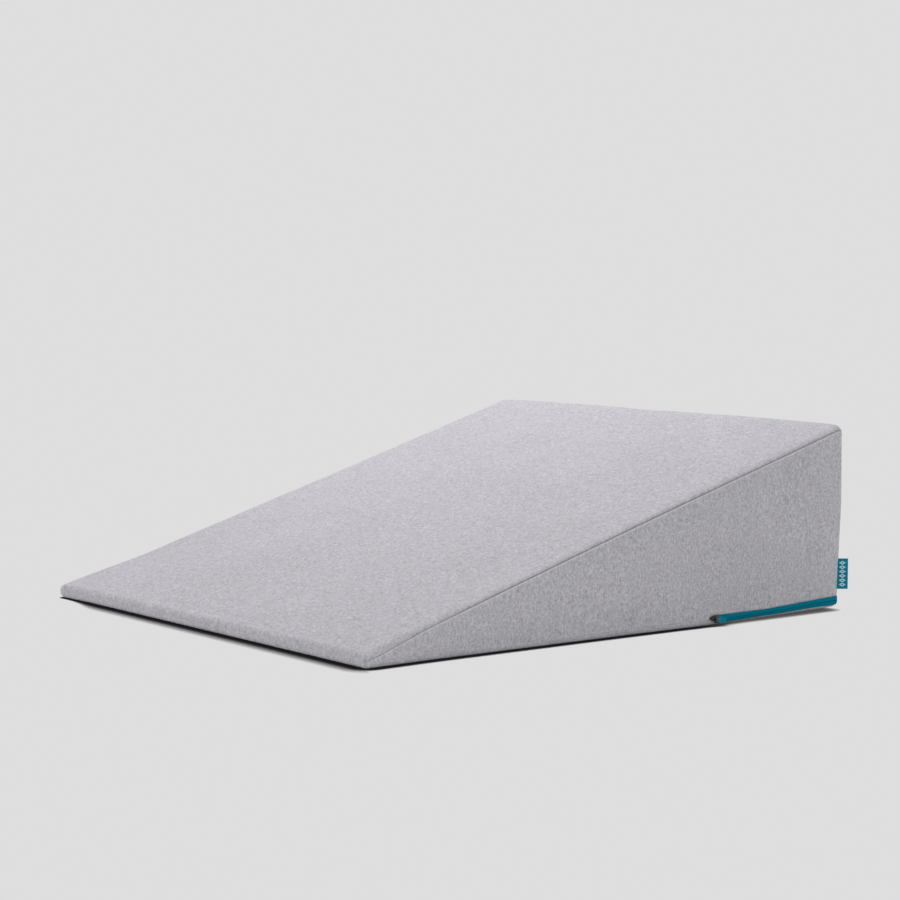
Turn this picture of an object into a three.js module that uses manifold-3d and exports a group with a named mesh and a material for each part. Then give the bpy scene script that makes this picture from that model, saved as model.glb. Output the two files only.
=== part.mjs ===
// Wedge pillow: a firm foam wedge in a sewn cloth cover, with a zip low round its back and a small
// folded label in one back corner seam.
//
// Millimetres. X runs across, Y from the thin front edge to the tall back, and Z up. The origin is
// the centre of the underside.

import * as THREE from 'three';
import { mergeVertices } from 'three/addons/utils/BufferGeometryUtils.js';
import Module from 'manifold-3d';

const { clamp, degToRad, lerp, radToDeg, smoothstep } = THREE.MathUtils;

// The wedge, before the cover pulls on it
const WIDTH = 560;
const LENGTH = 600;
const BACK_HEIGHT = 194;
const FRONT_HEIGHT = 13;

// Round of the cloth over the foam
const SIDE_RADIUS = 7;
const BACK_RADIUS = 9;
const BASE_RADIUS = 5.5;
const ROUND_SHARE_OF_HEIGHT = 0.47;

// How the cover shapes the wedge
const CROWN = 3;
const CROWN_FULLNESS = 4;
const CROWN_FULL_FROM = -0.2;
const CROWN_EASES_FROM = 0.3;
const BACK_CROWN_SHARE = 0.7;
const SIDE_DRAW = 3;
const BACK_DRAW = 2;
const PANEL_BULGE = 2;
const FRONT_EARS = {
  left: { sideways: 8, forward: 3 },
  right: { sideways: 2, forward: 0 },
};
const FRONT_EAR_LENGTH = 100;
const FRONT_EAR_WIDTH = 60;
const CORNER_LIFT = 3.5;
const CORNER_LIFT_FROM_BACK = 184.4;
const CORNER_LIFT_FROM_SIDE = 177.6;
const CORNER_TUCK = 2.4;
const CORNER_TUCK_HEIGHT = 120;

// Seams
const SEAM_DEPTH = 0.8;
const SEAM_TURN = 22;
const SEAM_ALLOWANCE = 2.5;

// Zip
const ZIP_FRONT_END = 183.5;
const TAPE_HEIGHT = 2.9;
const TAPE_THICKNESS = 1.2;
const TAPE_PROUD = 0.2;
const TAPE_CROWN = 0.35;
const COIL_HEIGHT = 0.9;
const COIL_THICKNESS = 1.1;
const ZIP_BOTTOM = 2.6;
const GAP = 0.3;

// Slider and pull
const SLIDER_LENGTH = 10.5;
const SLIDER_HEIGHT = 7.4;
const SLIDER_THICKNESS = 1.5;
const SLIDER_NOSE_FLAT = 0.35;
const SLIDER_SHOULDER = 0.45;
const SLIDER_WAIST = { along: 0.3, up: 0.9 };
const SLIDER_TAIL_HEIGHT = 0.72;
const BRIDGE_RADIUS = 2.1;
const BRIDGE_LEG = 1;
const BRIDGE_WIRE = 0.9;
const BRIDGE_WIDTH = 1.8;
const BRIDGE_MIDDLE = 1.4;
const BRIDGE_SUNK = 0.2;
const PULL_LENGTH = 11;
const PULL_HEIGHT = 7;
const PULL_THICKNESS = 1.2;
const PULL_FRONT_BAR = 1.3;
const PULL_SLOT = 2.7;
const PULL_CORNER = 1.1;
const PULL_TILT = 8;
const PULL_DROOP = 14;

// Label
const LABEL_REACH = 11;
const LABEL_TURN = 38;
const LABEL_HEIGHT = 32;
const LABEL_BOTTOM = 18.9;
const LABEL_THICKNESS = 1;
const LABEL_STANDOFF = 0.46;
const LABEL_BOW = 0.4;

// Fineness of the lattices
const ROUND_CELLS = 4;
const CELLS_ACROSS = 16;
const CELLS_ALONG = 20;
const CELLS_UP = 6;
const ZIP_SIDE_CELLS = 8;
const ZIP_CORNER_CELLS = 6;
const ZIP_BACK_CELLS = 18;
const LABEL_CELLS = 4;
const PLATE_CURVE_CELLS = 6;
const BRIDGE_CURVE_CELLS = 8;

const wasm = await Module();
wasm.setup();

function toSolid(geometry) {
  const bare = geometry.clone();
  bare.deleteAttribute('normal');
  bare.deleteAttribute('uv');
  const merged = mergeVertices(bare, 1e-4);
  return new wasm.Manifold(new wasm.Mesh({
    numProp: 3,
    vertProperties: new Float32Array(merged.getAttribute('position').array),
    triVerts: new Uint32Array(merged.getIndex().array),
  }));
}

function toGeometry(solid) {
  const mesh = solid.getMesh();
  const geometry = new THREE.BufferGeometry();
  geometry.setAttribute('position', new THREE.BufferAttribute(mesh.vertProperties, 3));
  geometry.setIndex(new THREE.BufferAttribute(mesh.triVerts, 1));
  geometry.computeVertexNormals();
  return geometry;
}

// A closed box lattice whose corners are put in place by a rule that takes their three indices.
function shapeBox(cells, place) {
  const box = new THREE.BoxGeometry(1, 1, 1, ...cells);
  box.deleteAttribute('normal');
  box.deleteAttribute('uv');
  const lattice = mergeVertices(box, 1e-4);
  const position = lattice.getAttribute('position');
  for (let n = 0; n < position.count; n += 1) {
    const shares = [position.getX(n), position.getY(n), position.getZ(n)];
    const indices = shares.map((share, axis) => Math.round((share + 0.5) * cells[axis]));
    const placed = place(...indices);
    position.setXYZ(n, placed.x, placed.y, placed.z);
  }
  lattice.computeVertexNormals();
  return lattice;
}

function slopeHeight(y) {
  return lerp(FRONT_HEIGHT, BACK_HEIGHT, clamp(y / LENGTH + 0.5, 0, 1));
}

// What the sewn cover does to the plain wedge: it crowns the top, draws the sides in between the
// corners, bulges each upright panel, lets the thin front corners poke out, one more than the other,
// and lifts and tucks in the lower back corners.
function settle(point) {
  const side = clamp(point.x / (WIDTH / 2), -1, 1);
  const run = clamp(point.y / (LENGTH / 2), -1, 1);
  const height = slopeHeight(point.y);
  const rise = clamp(point.z / height, 0, 1);
  const midWidth = 1 - side ** 2;
  const midLength = 1 - run ** 2;
  const midHeight = 4 * rise * (1 - rise) * (height / BACK_HEIGHT);

  const frontFade = smoothstep(run, -1, CROWN_FULL_FROM);
  const backFade = lerp(1, BACK_CROWN_SHARE, smoothstep(run, CROWN_EASES_FROM, 1));
  const crown = CROWN * (1 - Math.abs(side) ** CROWN_FULLNESS) * frontFade * backFade * rise;

  const nearBack = clamp(1 - (LENGTH / 2 - point.y) / CORNER_LIFT_FROM_BACK, 0, 1);
  const nearSide = clamp(1 - (WIDTH / 2 - Math.abs(point.x)) / CORNER_LIFT_FROM_SIDE, 0, 1);
  const lift = CORNER_LIFT * nearBack * nearSide * (1 - rise);
  const tuck = CORNER_TUCK * nearBack * nearSide * (1 - smoothstep(point.z, 0, CORNER_TUCK_HEIGHT));

  const ear = side < 0 ? FRONT_EARS.left : FRONT_EARS.right;
  const earAlong = 1 - smoothstep(point.y, -LENGTH / 2, -LENGTH / 2 + FRONT_EAR_LENGTH);
  const earAcross = smoothstep(Math.abs(point.x), WIDTH / 2 - FRONT_EAR_WIDTH, WIDTH / 2);

  const inX = SIDE_DRAW * midLength - PANEL_BULGE * midHeight * midLength + tuck - ear.sideways * earAlong;
  const inY = run > 0 ? BACK_DRAW * midWidth - PANEL_BULGE * midHeight * midWidth + tuck : 0;
  return new THREE.Vector3(
    point.x - side * inX,
    point.y - run * inY - ear.forward * earAlong * earAcross,
    point.z + crown + lift,
  );
}

// Stops of the cushion's lattice along one axis: a round edge, the flat between, and a round edge.
// core is the place along the flat, and out how far round the edge the stop is, from 0 to 1.
function latticeStops(flatCells, extra = []) {
  const round = [];
  for (let n = 1; n <= ROUND_CELLS; n += 1) {
    round.push(Math.tan(degToRad((45 * n) / ROUND_CELLS)));
  }
  const flat = [];
  for (let n = 0; n <= flatCells; n += 1) {
    flat.push({ core: n / flatCells, out: 0, shift: 0 });
  }
  flat.splice(1, 0, ...extra);
  return [
    ...round.toReversed().map((out) => ({ core: 0, out: -out, shift: 0 })),
    ...flat,
    ...round.map((out) => ({ core: 1, out, shift: 0 })),
  ];
}

// Turns a direction round the edge under the top, so that the middle of the round edge, where the
// lattice has its seam, lies low down on the side's part of it.
function turnToSeam(out) {
  if (out.x === 0 || out.z <= 0) {
    return out;
  }
  const turn = radToDeg(Math.atan2(out.z, Math.abs(out.x)));
  const turned = degToRad(turn < 45 ? (turn * SEAM_TURN) / 45 : lerp(SEAM_TURN, 90, (turn - 45) / 45));
  const length = Math.hypot(out.x, out.z);
  return new THREE.Vector3(Math.sign(out.x) * length * Math.cos(turned), out.y, length * Math.sin(turned));
}

// The filled cover. Its seams run along each side's outline: the round edge under the top, the upright
// back corner, the short front end, and the line just above the base.
function cushionLattice() {
  const xStops = latticeStops(CELLS_ACROSS);
  const yStops = latticeStops(CELLS_ALONG);
  const zStops = latticeStops(CELLS_UP, [{ core: 0, out: 0, shift: SEAM_ALLOWANCE }]);

  function place(i, j, k) {
    const stopX = xStops[i];
    const stopY = yStops[j];
    const stopZ = zStops[k];

    const frontRadius = ROUND_SHARE_OF_HEIGHT * FRONT_HEIGHT;
    const coreY = lerp(-LENGTH / 2 + frontRadius, LENGTH / 2 - BACK_RADIUS, stopY.core);
    const height = slopeHeight(coreY);
    const mostRadius = ROUND_SHARE_OF_HEIGHT * height;
    const sideRadius = Math.min(SIDE_RADIUS, mostRadius);
    const coreHalf = WIDTH / 2 - sideRadius;
    const coreX = lerp(-coreHalf, coreHalf, stopX.core);
    const topBlend = smoothstep(coreY, 0, LENGTH / 2 - BACK_RADIUS);
    const topRadius = Math.min(lerp(SIDE_RADIUS, BACK_RADIUS, topBlend), mostRadius);
    const baseRadius = Math.min(BASE_RADIUS, mostRadius);
    const coreLow = baseRadius;
    const coreHigh = height - topRadius;
    const shift = Math.min(stopZ.shift, (coreHigh - coreLow) / (2 * CELLS_UP));
    const coreZ = lerp(coreLow, coreHigh, stopZ.core) + shift;

    const onSide = Math.abs(stopX.out) === 1;
    const underTop = onSide && stopZ.out === 1;
    const atCorner = onSide && Math.abs(stopY.out) === 1 && stopZ.out >= 0;
    const aboveBase = onSide && stopZ.core === 0 && stopZ.out === 0 && stopZ.shift === 0;
    const seam = underTop || atCorner || aboveBase ? SEAM_DEPTH : 0;

    const out = turnToSeam(new THREE.Vector3(stopX.out, stopY.out, stopZ.out).normalize());
    const radiusX = sideRadius - seam;
    const radiusY = (stopY.out > 0 ? BACK_RADIUS : frontRadius) - seam;
    const radiusZ = (stopZ.out > 0 ? topRadius : baseRadius) - seam;
    return settle(new THREE.Vector3(
      coreX + out.x * radiusX,
      coreY + out.y * radiusY,
      coreZ + out.z * radiusZ,
    ));
  }
  return shapeBox([xStops.length - 1, yStops.length - 1, zStops.length - 1], place);
}

// Plan of the wall that the zip follows: along the right side, round the back and along the left side.
function zipPlan() {
  const sideX = WIDTH / 2;
  const backY = LENGTH / 2;
  const plan = [];
  const addCorner = (sideways) => {
    for (let n = 0; n <= ZIP_CORNER_CELLS; n += 1) {
      const share = (sideways > 0 ? n : ZIP_CORNER_CELLS - n) / ZIP_CORNER_CELLS;
      const turn = (share * Math.PI) / 2;
      const normal = new THREE.Vector2(sideways * Math.cos(turn), Math.sin(turn));
      plan.push({
        x: sideways * (sideX - SIDE_RADIUS) + SIDE_RADIUS * normal.x,
        y: backY - BACK_RADIUS + BACK_RADIUS * normal.y,
        normal,
      });
    }
  };
  const sideStart = backY - ZIP_FRONT_END;
  const sideEnd = backY - BACK_RADIUS;
  for (let n = 0; n < ZIP_SIDE_CELLS; n += 1) {
    const y = lerp(sideStart, sideEnd, n / ZIP_SIDE_CELLS);
    plan.push({ x: sideX, y, normal: new THREE.Vector2(1, 0) });
  }
  addCorner(1);
  for (let n = 1; n < ZIP_BACK_CELLS; n += 1) {
    const across = sideX - SIDE_RADIUS;
    const x = lerp(across, -across, n / ZIP_BACK_CELLS);
    plan.push({ x, y: backY, normal: new THREE.Vector2(0, 1) });
  }
  addCorner(-1);
  for (let n = 1; n <= ZIP_SIDE_CELLS; n += 1) {
    const y = lerp(sideEnd, sideStart, n / ZIP_SIDE_CELLS);
    plan.push({ x: -sideX, y, normal: new THREE.Vector2(-1, 0) });
  }
  return plan;
}

// How far the round edge above the base lies inside the wall at a height
function baseRound(z) {
  const below = clamp(BASE_RADIUS - z, 0, BASE_RADIUS);
  return BASE_RADIUS - Math.sqrt(BASE_RADIUS ** 2 - below ** 2);
}

// A band along the zip's plan, between two depths and two heights, a little crowned across its face.
// It follows the round edge above the base.
function zipBand({ low, high, inner, outer, crown = 0, lengthen = 0 }) {
  const plan = zipPlan();
  plan[0].y -= lengthen;
  plan[plan.length - 1].y -= lengthen;
  return shapeBox([1, plan.length - 1, 2], (i, j, k) => {
    const { x, y, normal } = plan[j];
    const z = lerp(low, high, k / 2);
    const depth = (i === 0 ? inner : outer + (k === 1 ? crown : 0)) - baseRound(z);
    return settle(new THREE.Vector3(x + normal.x * depth, y + normal.y * depth, z));
  });
}

const tapeInner = TAPE_PROUD - TAPE_THICKNESS;
const coilLow = ZIP_BOTTOM + TAPE_HEIGHT + GAP;
const coilHigh = coilLow + COIL_HEIGHT;
const upperLow = coilHigh + GAP;
const zipTop = upperLow + TAPE_HEIGHT;
const zipMiddle = (ZIP_BOTTOM + zipTop) / 2;

function lowerTape() {
  return zipBand({
    low: ZIP_BOTTOM,
    high: ZIP_BOTTOM + TAPE_HEIGHT,
    inner: tapeInner,
    outer: TAPE_PROUD,
    crown: TAPE_CROWN,
  });
}

function upperTape() {
  return zipBand({
    low: upperLow,
    high: zipTop,
    inner: tapeInner,
    outer: TAPE_PROUD,
    crown: TAPE_CROWN,
  });
}

function coil() {
  return zipBand({
    low: coilLow,
    high: coilHigh,
    inner: tapeInner,
    outer: tapeInner + COIL_THICKNESS,
    crown: TAPE_CROWN / 2,
  });
}

// The channel that the zip is sewn into
function zipChannel() {
  return zipBand({
    low: ZIP_BOTTOM - GAP,
    high: zipTop + GAP,
    inner: tapeInner - GAP,
    outer: 2 * TAPE_THICKNESS,
    lengthen: GAP,
  });
}

function cushion() {
  return toGeometry(toSolid(cushionLattice()).subtract(toSolid(zipChannel())));
}

// Where the slider sits: the middle of its underside, clear of the upper tape's crown.
function sliderSeat() {
  const alongY = LENGTH / 2 - ZIP_FRONT_END + SLIDER_LENGTH / 2;
  const crownPoint = settle(new THREE.Vector3(WIDTH / 2, alongY, (upperLow + zipTop) / 2));
  const seat = settle(new THREE.Vector3(WIDTH / 2, alongY, zipMiddle));
  seat.x = crownPoint.x + TAPE_PROUD + TAPE_CROWN + GAP;
  return seat;
}

// Plate with its outline in the plane of the side panel: u runs to the back and v up.
function sidePlate(outline, thickness) {
  const plate = new THREE.ExtrudeGeometry(outline, {
    depth: thickness,
    bevelEnabled: false,
    curveSegments: PLATE_CURVE_CELLS,
  });
  const toSide = new THREE.Matrix4().makeBasis(
    new THREE.Vector3(0, 1, 0),
    new THREE.Vector3(0, 0, 1),
    new THREE.Vector3(1, 0, 0),
  );
  return plate.applyMatrix4(toSide);
}

function roundedOutline(length, height, radius) {
  const outline = new THREE.Shape();
  const u = length / 2;
  const v = height / 2;
  outline.moveTo(-u + radius, -v);
  outline.lineTo(u - radius, -v);
  outline.absarc(u - radius, -v + radius, radius, -Math.PI / 2, 0);
  outline.lineTo(u, v - radius);
  outline.absarc(u - radius, v - radius, radius, 0, Math.PI / 2);
  outline.lineTo(-u + radius, v);
  outline.absarc(-u + radius, v - radius, radius, Math.PI / 2, Math.PI);
  outline.lineTo(-u, -v + radius);
  outline.absarc(-u + radius, -v + radius, radius, Math.PI, 1.5 * Math.PI);
  return outline;
}

// Slider: a waisted metal plate over the closed zip, with an arched bridge for the pull
function slider() {
  const u = SLIDER_LENGTH / 2;
  const v = SLIDER_HEIGHT / 2;
  const outline = new THREE.Shape();
  const noseV = SLIDER_NOSE_FLAT * v;
  const tailV = SLIDER_TAIL_HEIGHT * v;
  const shoulderU = -SLIDER_SHOULDER * u;
  const waistU = SLIDER_WAIST.along * u;
  const waistV = SLIDER_WAIST.up * v;
  outline.moveTo(-u, -noseV);
  outline.quadraticCurveTo(-u, -v, shoulderU, -v);
  outline.quadraticCurveTo(waistU, -waistV, u, -tailV);
  outline.lineTo(u, tailV);
  outline.quadraticCurveTo(waistU, waistV, shoulderU, v);
  outline.quadraticCurveTo(-u, v, -u, noseV);
  const plate = sidePlate(outline, SLIDER_THICKNESS);

  const outside = BRIDGE_RADIUS + BRIDGE_WIRE / 2;
  const inside = BRIDGE_RADIUS - BRIDGE_WIRE / 2;
  const arch = new THREE.Shape();
  arch.moveTo(outside, -BRIDGE_LEG);
  arch.absarc(0, 0, outside, 0, Math.PI);
  arch.lineTo(-outside, -BRIDGE_LEG);
  arch.lineTo(-inside, -BRIDGE_LEG);
  arch.absarc(0, 0, inside, Math.PI, 0, true);
  arch.lineTo(inside, -BRIDGE_LEG);
  const bridge = new THREE.ExtrudeGeometry(arch, {
    depth: BRIDGE_WIDTH,
    bevelEnabled: false,
    curveSegments: BRIDGE_CURVE_CELLS,
  });
  bridge.translate(BRIDGE_MIDDLE, 0, -BRIDGE_WIDTH / 2);
  bridge.applyMatrix4(new THREE.Matrix4().makeBasis(
    new THREE.Vector3(0, 1, 0),
    new THREE.Vector3(1, 0, 0),
    new THREE.Vector3(0, 0, -1),
  ));
  bridge.translate(SLIDER_THICKNESS - BRIDGE_SUNK + BRIDGE_LEG, 0, 0);
  return toGeometry(toSolid(plate).add(toSolid(bridge)));
}

// Pull: a flat tab with a slot near its front end, which the bridge passes through
function pull() {
  const outline = roundedOutline(PULL_LENGTH, PULL_HEIGHT, PULL_CORNER);
  const slotMiddle = -PULL_LENGTH / 2 + PULL_FRONT_BAR + PULL_SLOT / 2;
  const half = PULL_SLOT / 2;
  const slot = new THREE.Path();
  slot.moveTo(slotMiddle - half, -half);
  slot.lineTo(slotMiddle - half, half);
  slot.lineTo(slotMiddle + half, half);
  slot.lineTo(slotMiddle + half, -half);
  slot.closePath();
  outline.holes.push(slot);
  return sidePlate(outline, PULL_THICKNESS).translate(0, -slotMiddle, 0);
}

// Label: a folded strip that stands out from the seam of the right back corner, bowed a little
function label() {
  const turn = degToRad(LABEL_TURN);
  const along = new THREE.Vector3(Math.sin(turn), Math.cos(turn), 0);
  const across = new THREE.Vector3(Math.cos(turn), -Math.sin(turn), 0);
  const corner = new THREE.Vector3(WIDTH / 2 - SIDE_RADIUS, LENGTH / 2 - BACK_RADIUS, 0);
  const root = corner.clone();
  root.x += SIDE_RADIUS * Math.SQRT1_2;
  root.y += BACK_RADIUS * Math.SQRT1_2;
  return shapeBox([1, LABEL_CELLS, LABEL_CELLS], (i, j, k) => {
    const share = j / LABEL_CELLS;
    const z = LABEL_BOTTOM + (k / LABEL_CELLS) * LABEL_HEIGHT;
    return settle(new THREE.Vector3(root.x, root.y, z))
      .addScaledVector(along, LABEL_STANDOFF + share * LABEL_REACH)
      .addScaledVector(across, (i - 0.5) * LABEL_THICKNESS + LABEL_BOW * Math.sin(share * Math.PI));
  });
}

const finishes = {
  cloth: { color: 0xb9b7bb, roughness: 0.95, metalness: 0 },
  tape: { color: 0x0a6478, roughness: 0.8, metalness: 0 },
  coil: { color: 0x07566a, roughness: 0.5, metalness: 0 },
  metal: { color: 0x3a3a38, roughness: 0.35, metalness: 0.9 },
  pull: { color: 0x0f7f92, roughness: 0.6, metalness: 0 },
  label: { color: 0x086e82, roughness: 0.85, metalness: 0 },
};

const pillow = new THREE.Group();

function addPiece(name, geometry, finish) {
  const mesh = new THREE.Mesh(geometry, new THREE.MeshStandardMaterial(finish));
  mesh.name = name;
  pillow.add(mesh);
  return mesh;
}

addPiece('cushion', cushion(), finishes.cloth);
addPiece('zip_tape_upper', upperTape(), finishes.tape);
addPiece('zip_tape_lower', lowerTape(), finishes.tape);
addPiece('zip_coil', coil(), finishes.coil);
addPiece('zip_slider', slider(), finishes.metal).position.copy(sliderSeat());

const pullMesh = addPiece('zip_pull', pull(), finishes.pull);
pullMesh.position.copy(sliderSeat());
pullMesh.position.x += SLIDER_THICKNESS + GAP;
pullMesh.position.x += (PULL_FRONT_BAR + PULL_SLOT / 2) * Math.sin(degToRad(PULL_TILT));
pullMesh.position.y += BRIDGE_MIDDLE + BRIDGE_RADIUS;
pullMesh.rotation.set(degToRad(-PULL_DROOP), 0, degToRad(-PULL_TILT));

addPiece('label', label(), finishes.label);

export default pillow;
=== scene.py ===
from math import cos, pi, radians, sin, sqrt, tan

import bmesh
import bpy
import numpy as np
from mathutils import Euler, Matrix, Vector, noise
from mathutils.bvhtree import BVHTree


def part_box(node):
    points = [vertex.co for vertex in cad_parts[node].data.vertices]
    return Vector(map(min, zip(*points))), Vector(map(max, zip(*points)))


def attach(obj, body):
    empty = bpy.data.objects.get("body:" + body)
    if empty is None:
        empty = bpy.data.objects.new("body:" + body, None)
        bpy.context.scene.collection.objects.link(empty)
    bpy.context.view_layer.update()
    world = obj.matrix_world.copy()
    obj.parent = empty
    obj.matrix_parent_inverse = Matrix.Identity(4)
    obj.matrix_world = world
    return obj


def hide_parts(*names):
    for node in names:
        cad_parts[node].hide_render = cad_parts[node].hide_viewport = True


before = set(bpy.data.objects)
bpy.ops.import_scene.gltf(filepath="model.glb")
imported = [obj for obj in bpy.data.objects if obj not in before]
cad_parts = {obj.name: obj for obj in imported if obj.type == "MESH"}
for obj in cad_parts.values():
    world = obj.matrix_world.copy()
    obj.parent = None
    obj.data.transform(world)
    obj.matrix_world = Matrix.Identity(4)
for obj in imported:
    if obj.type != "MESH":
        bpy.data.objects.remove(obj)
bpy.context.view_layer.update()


# The filled cover
# A firm foam wedge fills a cover of grey melange cloth. One long panel runs from the zip up the back,
# over the top, round the thin front edge and under the base, and a tapering panel is sewn to it on
# each side with a plain seam.
WIDTH = 0.560
LENGTH = 0.600
BACK_HEIGHT = 0.194
FRONT_HEIGHT = 0.013

SIDE_RADIUS = 0.007
BACK_RADIUS = 0.009
BASE_RADIUS = 0.0055
ROUND_SHARE_OF_HEIGHT = 0.47

CROWN = 0.003
CROWN_FULLNESS = 4
CROWN_FULL_FROM = -0.2
CROWN_EASES_FROM = 0.3
BACK_CROWN_SHARE = 0.7
SIDE_DRAW = 0.003
BACK_DRAW = 0.002
PANEL_BULGE = 0.002
LEFT_EAR = (0.008, 0.003)
RIGHT_EAR = (0.002, 0.0)
EAR_LENGTH = 0.100
EAR_WIDTH = 0.060
CORNER_LIFT = 0.0035
CORNER_LIFT_FROM_BACK = 0.1844
CORNER_LIFT_FROM_SIDE = 0.1776
CORNER_TUCK = 0.0024
CORNER_TUCK_HEIGHT = 0.120

SEAM_TURN = 22
SEAM_TURN_AT_TIP = 3
SEAM_TURN_LENGTH = 0.080
BASE_SEAM_FROM_FRONT = (0.045, 0.100, 0.141, 0.194, 0.234, 0.265, 0.317, 0.360, 0.404, 0.440)
BASE_SEAM_HEIGHT = (0.0062, 0.0059, 0.0039, 0.0037, 0.0053, 0.0058, 0.0068, 0.0064, 0.0060, 0.0055)

ZIP_LENGTH_ON_SIDE = 0.1835
ZIP_BOTTOM = 0.0026
ZIP_TOP = 0.0099
ZIP_PLACES = (0.0, 0.030, 0.075, 0.105, 0.125, 0.155, 0.185, 0.240)
ZIP_BOTTOM_DRIFT = (-0.0013, -0.0012, -0.0009, -0.0007, -0.0001, 0.0003, -0.0004, 0.0)
ZIP_TOP_DRIFT = (-0.0004, -0.0007, -0.0014, -0.0007, 0.0, 0.0010, 0.0021, 0.0)


def smoothstep(value, low, high):
    share = np.clip((value - low) / (high - low), 0, 1)
    return share * share * (3 - 2 * share)


def slope_height(y):
    return FRONT_HEIGHT + (BACK_HEIGHT - FRONT_HEIGHT) * np.clip(y / LENGTH + 0.5, 0, 1)


def by_back_corner(x, y):
    """1 at a lower back corner, falling evenly to 0 along the side and along the back."""
    near_back = np.clip(1 - (LENGTH / 2 - y) / CORNER_LIFT_FROM_BACK, 0, 1)
    near_side = np.clip(1 - (WIDTH / 2 - np.abs(x)) / CORNER_LIFT_FROM_SIDE, 0, 1)
    return near_back * near_side


def settle(points):
    """What the sewn cover does to the plain wedge: the crown, the drawn-in sides, the bulge of each
    upright panel, the front corners that poke out, and the lifted lower back corners."""
    x, y, z = points.T
    side = np.clip(x / (WIDTH / 2), -1, 1)
    run = np.clip(y / (LENGTH / 2), -1, 1)
    height = slope_height(y)
    rise = np.clip(z / height, 0, 1)
    mid_width = 1 - side ** 2
    mid_length = 1 - run ** 2
    mid_height = 4 * rise * (1 - rise) * (height / BACK_HEIGHT)

    back_fade = 1 + (BACK_CROWN_SHARE - 1) * smoothstep(run, CROWN_EASES_FROM, 1)
    fade = smoothstep(run, -1, CROWN_FULL_FROM) * back_fade
    crown = CROWN * (1 - np.abs(side) ** CROWN_FULLNESS) * fade * rise

    by_corner = by_back_corner(x, y)
    lift = CORNER_LIFT * by_corner * (1 - rise)
    tuck = CORNER_TUCK * by_corner * (1 - smoothstep(z, 0, CORNER_TUCK_HEIGHT))

    sideways = np.where(side < 0, LEFT_EAR[0], RIGHT_EAR[0])
    forward = np.where(side < 0, LEFT_EAR[1], RIGHT_EAR[1])
    ear_along = 1 - smoothstep(y, -LENGTH / 2, -LENGTH / 2 + EAR_LENGTH)
    ear_across = smoothstep(np.abs(x), WIDTH / 2 - EAR_WIDTH, WIDTH / 2)

    in_x = SIDE_DRAW * mid_length - PANEL_BULGE * mid_height * mid_length + tuck - sideways * ear_along
    in_y = np.where(run > 0, BACK_DRAW * mid_width - PANEL_BULGE * mid_height * mid_width + tuck, 0)
    moved_y = y - run * in_y - forward * ear_along * ear_across
    return np.stack([x - side * in_x, moved_y, z + crown + lift], axis=1)


def box_lattice(cells):
    """Surface points of a box lattice as whole-number places, and its four-sided faces."""
    numbers = {}
    places = []
    faces = []
    for axis in range(3):
        u = (axis + 1) % 3
        v = (axis + 2) % 3
        for end in (0, cells[axis]):
            for a in range(cells[u]):
                for b in range(cells[v]):
                    ring = []
                    for step_a, step_b in ((0, 0), (1, 0), (1, 1), (0, 1)):
                        place = [end, end, end]
                        place[u] = a + step_a
                        place[v] = b + step_b
                        place = tuple(place)
                        if place not in numbers:
                            numbers[place] = len(places)
                            places.append(place)
                        ring.append(numbers[place])
                    faces.append(ring if end else ring[::-1])
    return np.array(places), faces


EVEN_SHARE = 0.4


def stops(flat_cells, round_cells, near_start=()):
    """Stops of the lattice along one axis, as rows of: share along the flat, how far round the edge
    the stop is, and a shift in metres. The first stops of the flat may stand at set distances, and
    the others stand closer towards both ends of what is left of it."""
    turned = [round(tan(radians(45 * n / round_cells)), 9) for n in range(1, round_cells + 1)]
    set_length = near_start[-1] if near_start else 0
    rows = [(0, -out, 0) for out in reversed(turned)] + [(0, 0, 0)]
    rows += [(0, 0, shift) for shift in near_start]
    for n in range(1, flat_cells + 1):
        even = n / flat_cells
        eased = (1 - cos(pi * even)) / 2
        rows.append((EVEN_SHARE * even + (1 - EVEN_SHARE) * eased, 0, set_length))
    rows += [(1, out, set_length) for out in turned]
    return np.array(rows)


def turn_to_seam(out, turn):
    """Turns directions round the edge under the top, so that its middle, where the seam is, lies low
    down on the side's part of it."""
    x, y, z = out.T
    angle = np.degrees(np.arctan2(z, np.abs(x)))
    turned = np.where(angle < 45, angle * turn / 45, turn + (90 - turn) * (angle - 45) / 45)
    length = np.hypot(x, z)
    moves = (x != 0) & (z > 0)
    new_x = np.where(moves, np.sign(x) * length * np.cos(np.radians(turned)), x)
    new_z = np.where(moves, length * np.sin(np.radians(turned)), z)
    return np.stack([new_x, y, new_z], axis=1)


ROWS_SPREAD_FROM = 0.012


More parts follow.
